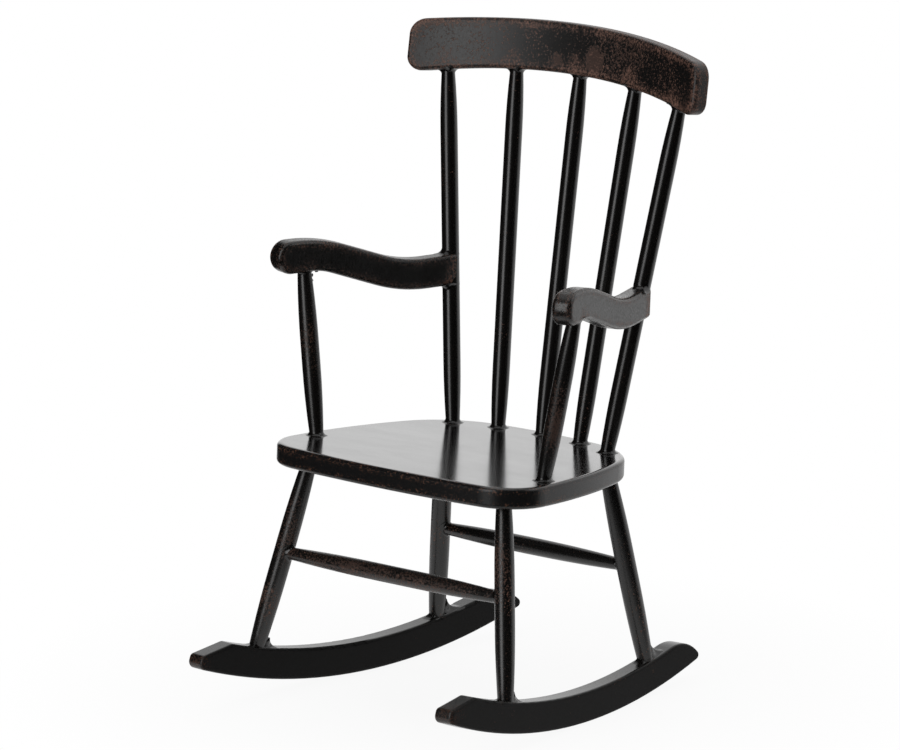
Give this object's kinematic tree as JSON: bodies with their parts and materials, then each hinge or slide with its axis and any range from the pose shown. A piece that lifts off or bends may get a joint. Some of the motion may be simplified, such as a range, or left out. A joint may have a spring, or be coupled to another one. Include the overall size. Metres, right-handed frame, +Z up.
{
  "type": "miniature rocking chair",
  "caption": "Doll's rocking chair in rubbed black paint: bowed spindle back with a curved crest rail, scrolled arms, raked seat, turned legs and curved rockers.",
  "frame": {"origin": "on the floor midway between the two points where the rockers touch it at rest", "axes": "+Z up, -Y the way the sitter faces, +X to the sitter's left"},
  "size_m": [0.0768, 0.0942, 0.1308],
  "materials": {
    "rubbed_paint": "satin black paint over cast metal, rubbed through in specks to reddish brown",
    "seat_paint": "smooth satin black paint, the glossiest face of the chair",
    "rocker_paint": "fine-grained low-sheen black paint, brown at the worn edges"
  },
  "bodies": {
    "root": {"arm_left": "rubbed_paint", "arm_post_left": "rubbed_paint", "arm_post_right": "rubbed_paint", "arm_right": "rubbed_paint", "back_spindle_centre": "rubbed_paint", "back_spindle_inner_left": "rubbed_paint", "back_spindle_inner_right": "rubbed_paint", "back_spindle_outer_left": "rubbed_paint", "back_spindle_outer_right": "rubbed_paint", "crest_rail": "rubbed_paint", "front_leg_left": "rubbed_paint", "front_leg_right": "rubbed_paint", "front_stretcher": "rubbed_paint", "rear_leg_left": "rubbed_paint", "rear_leg_right": "rubbed_paint", "rear_stretcher": "rubbed_paint", "rocker_left": "rocker_paint", "rocker_right": "rocker_paint", "seat": "seat_paint"}
  },
  "joints": []
}
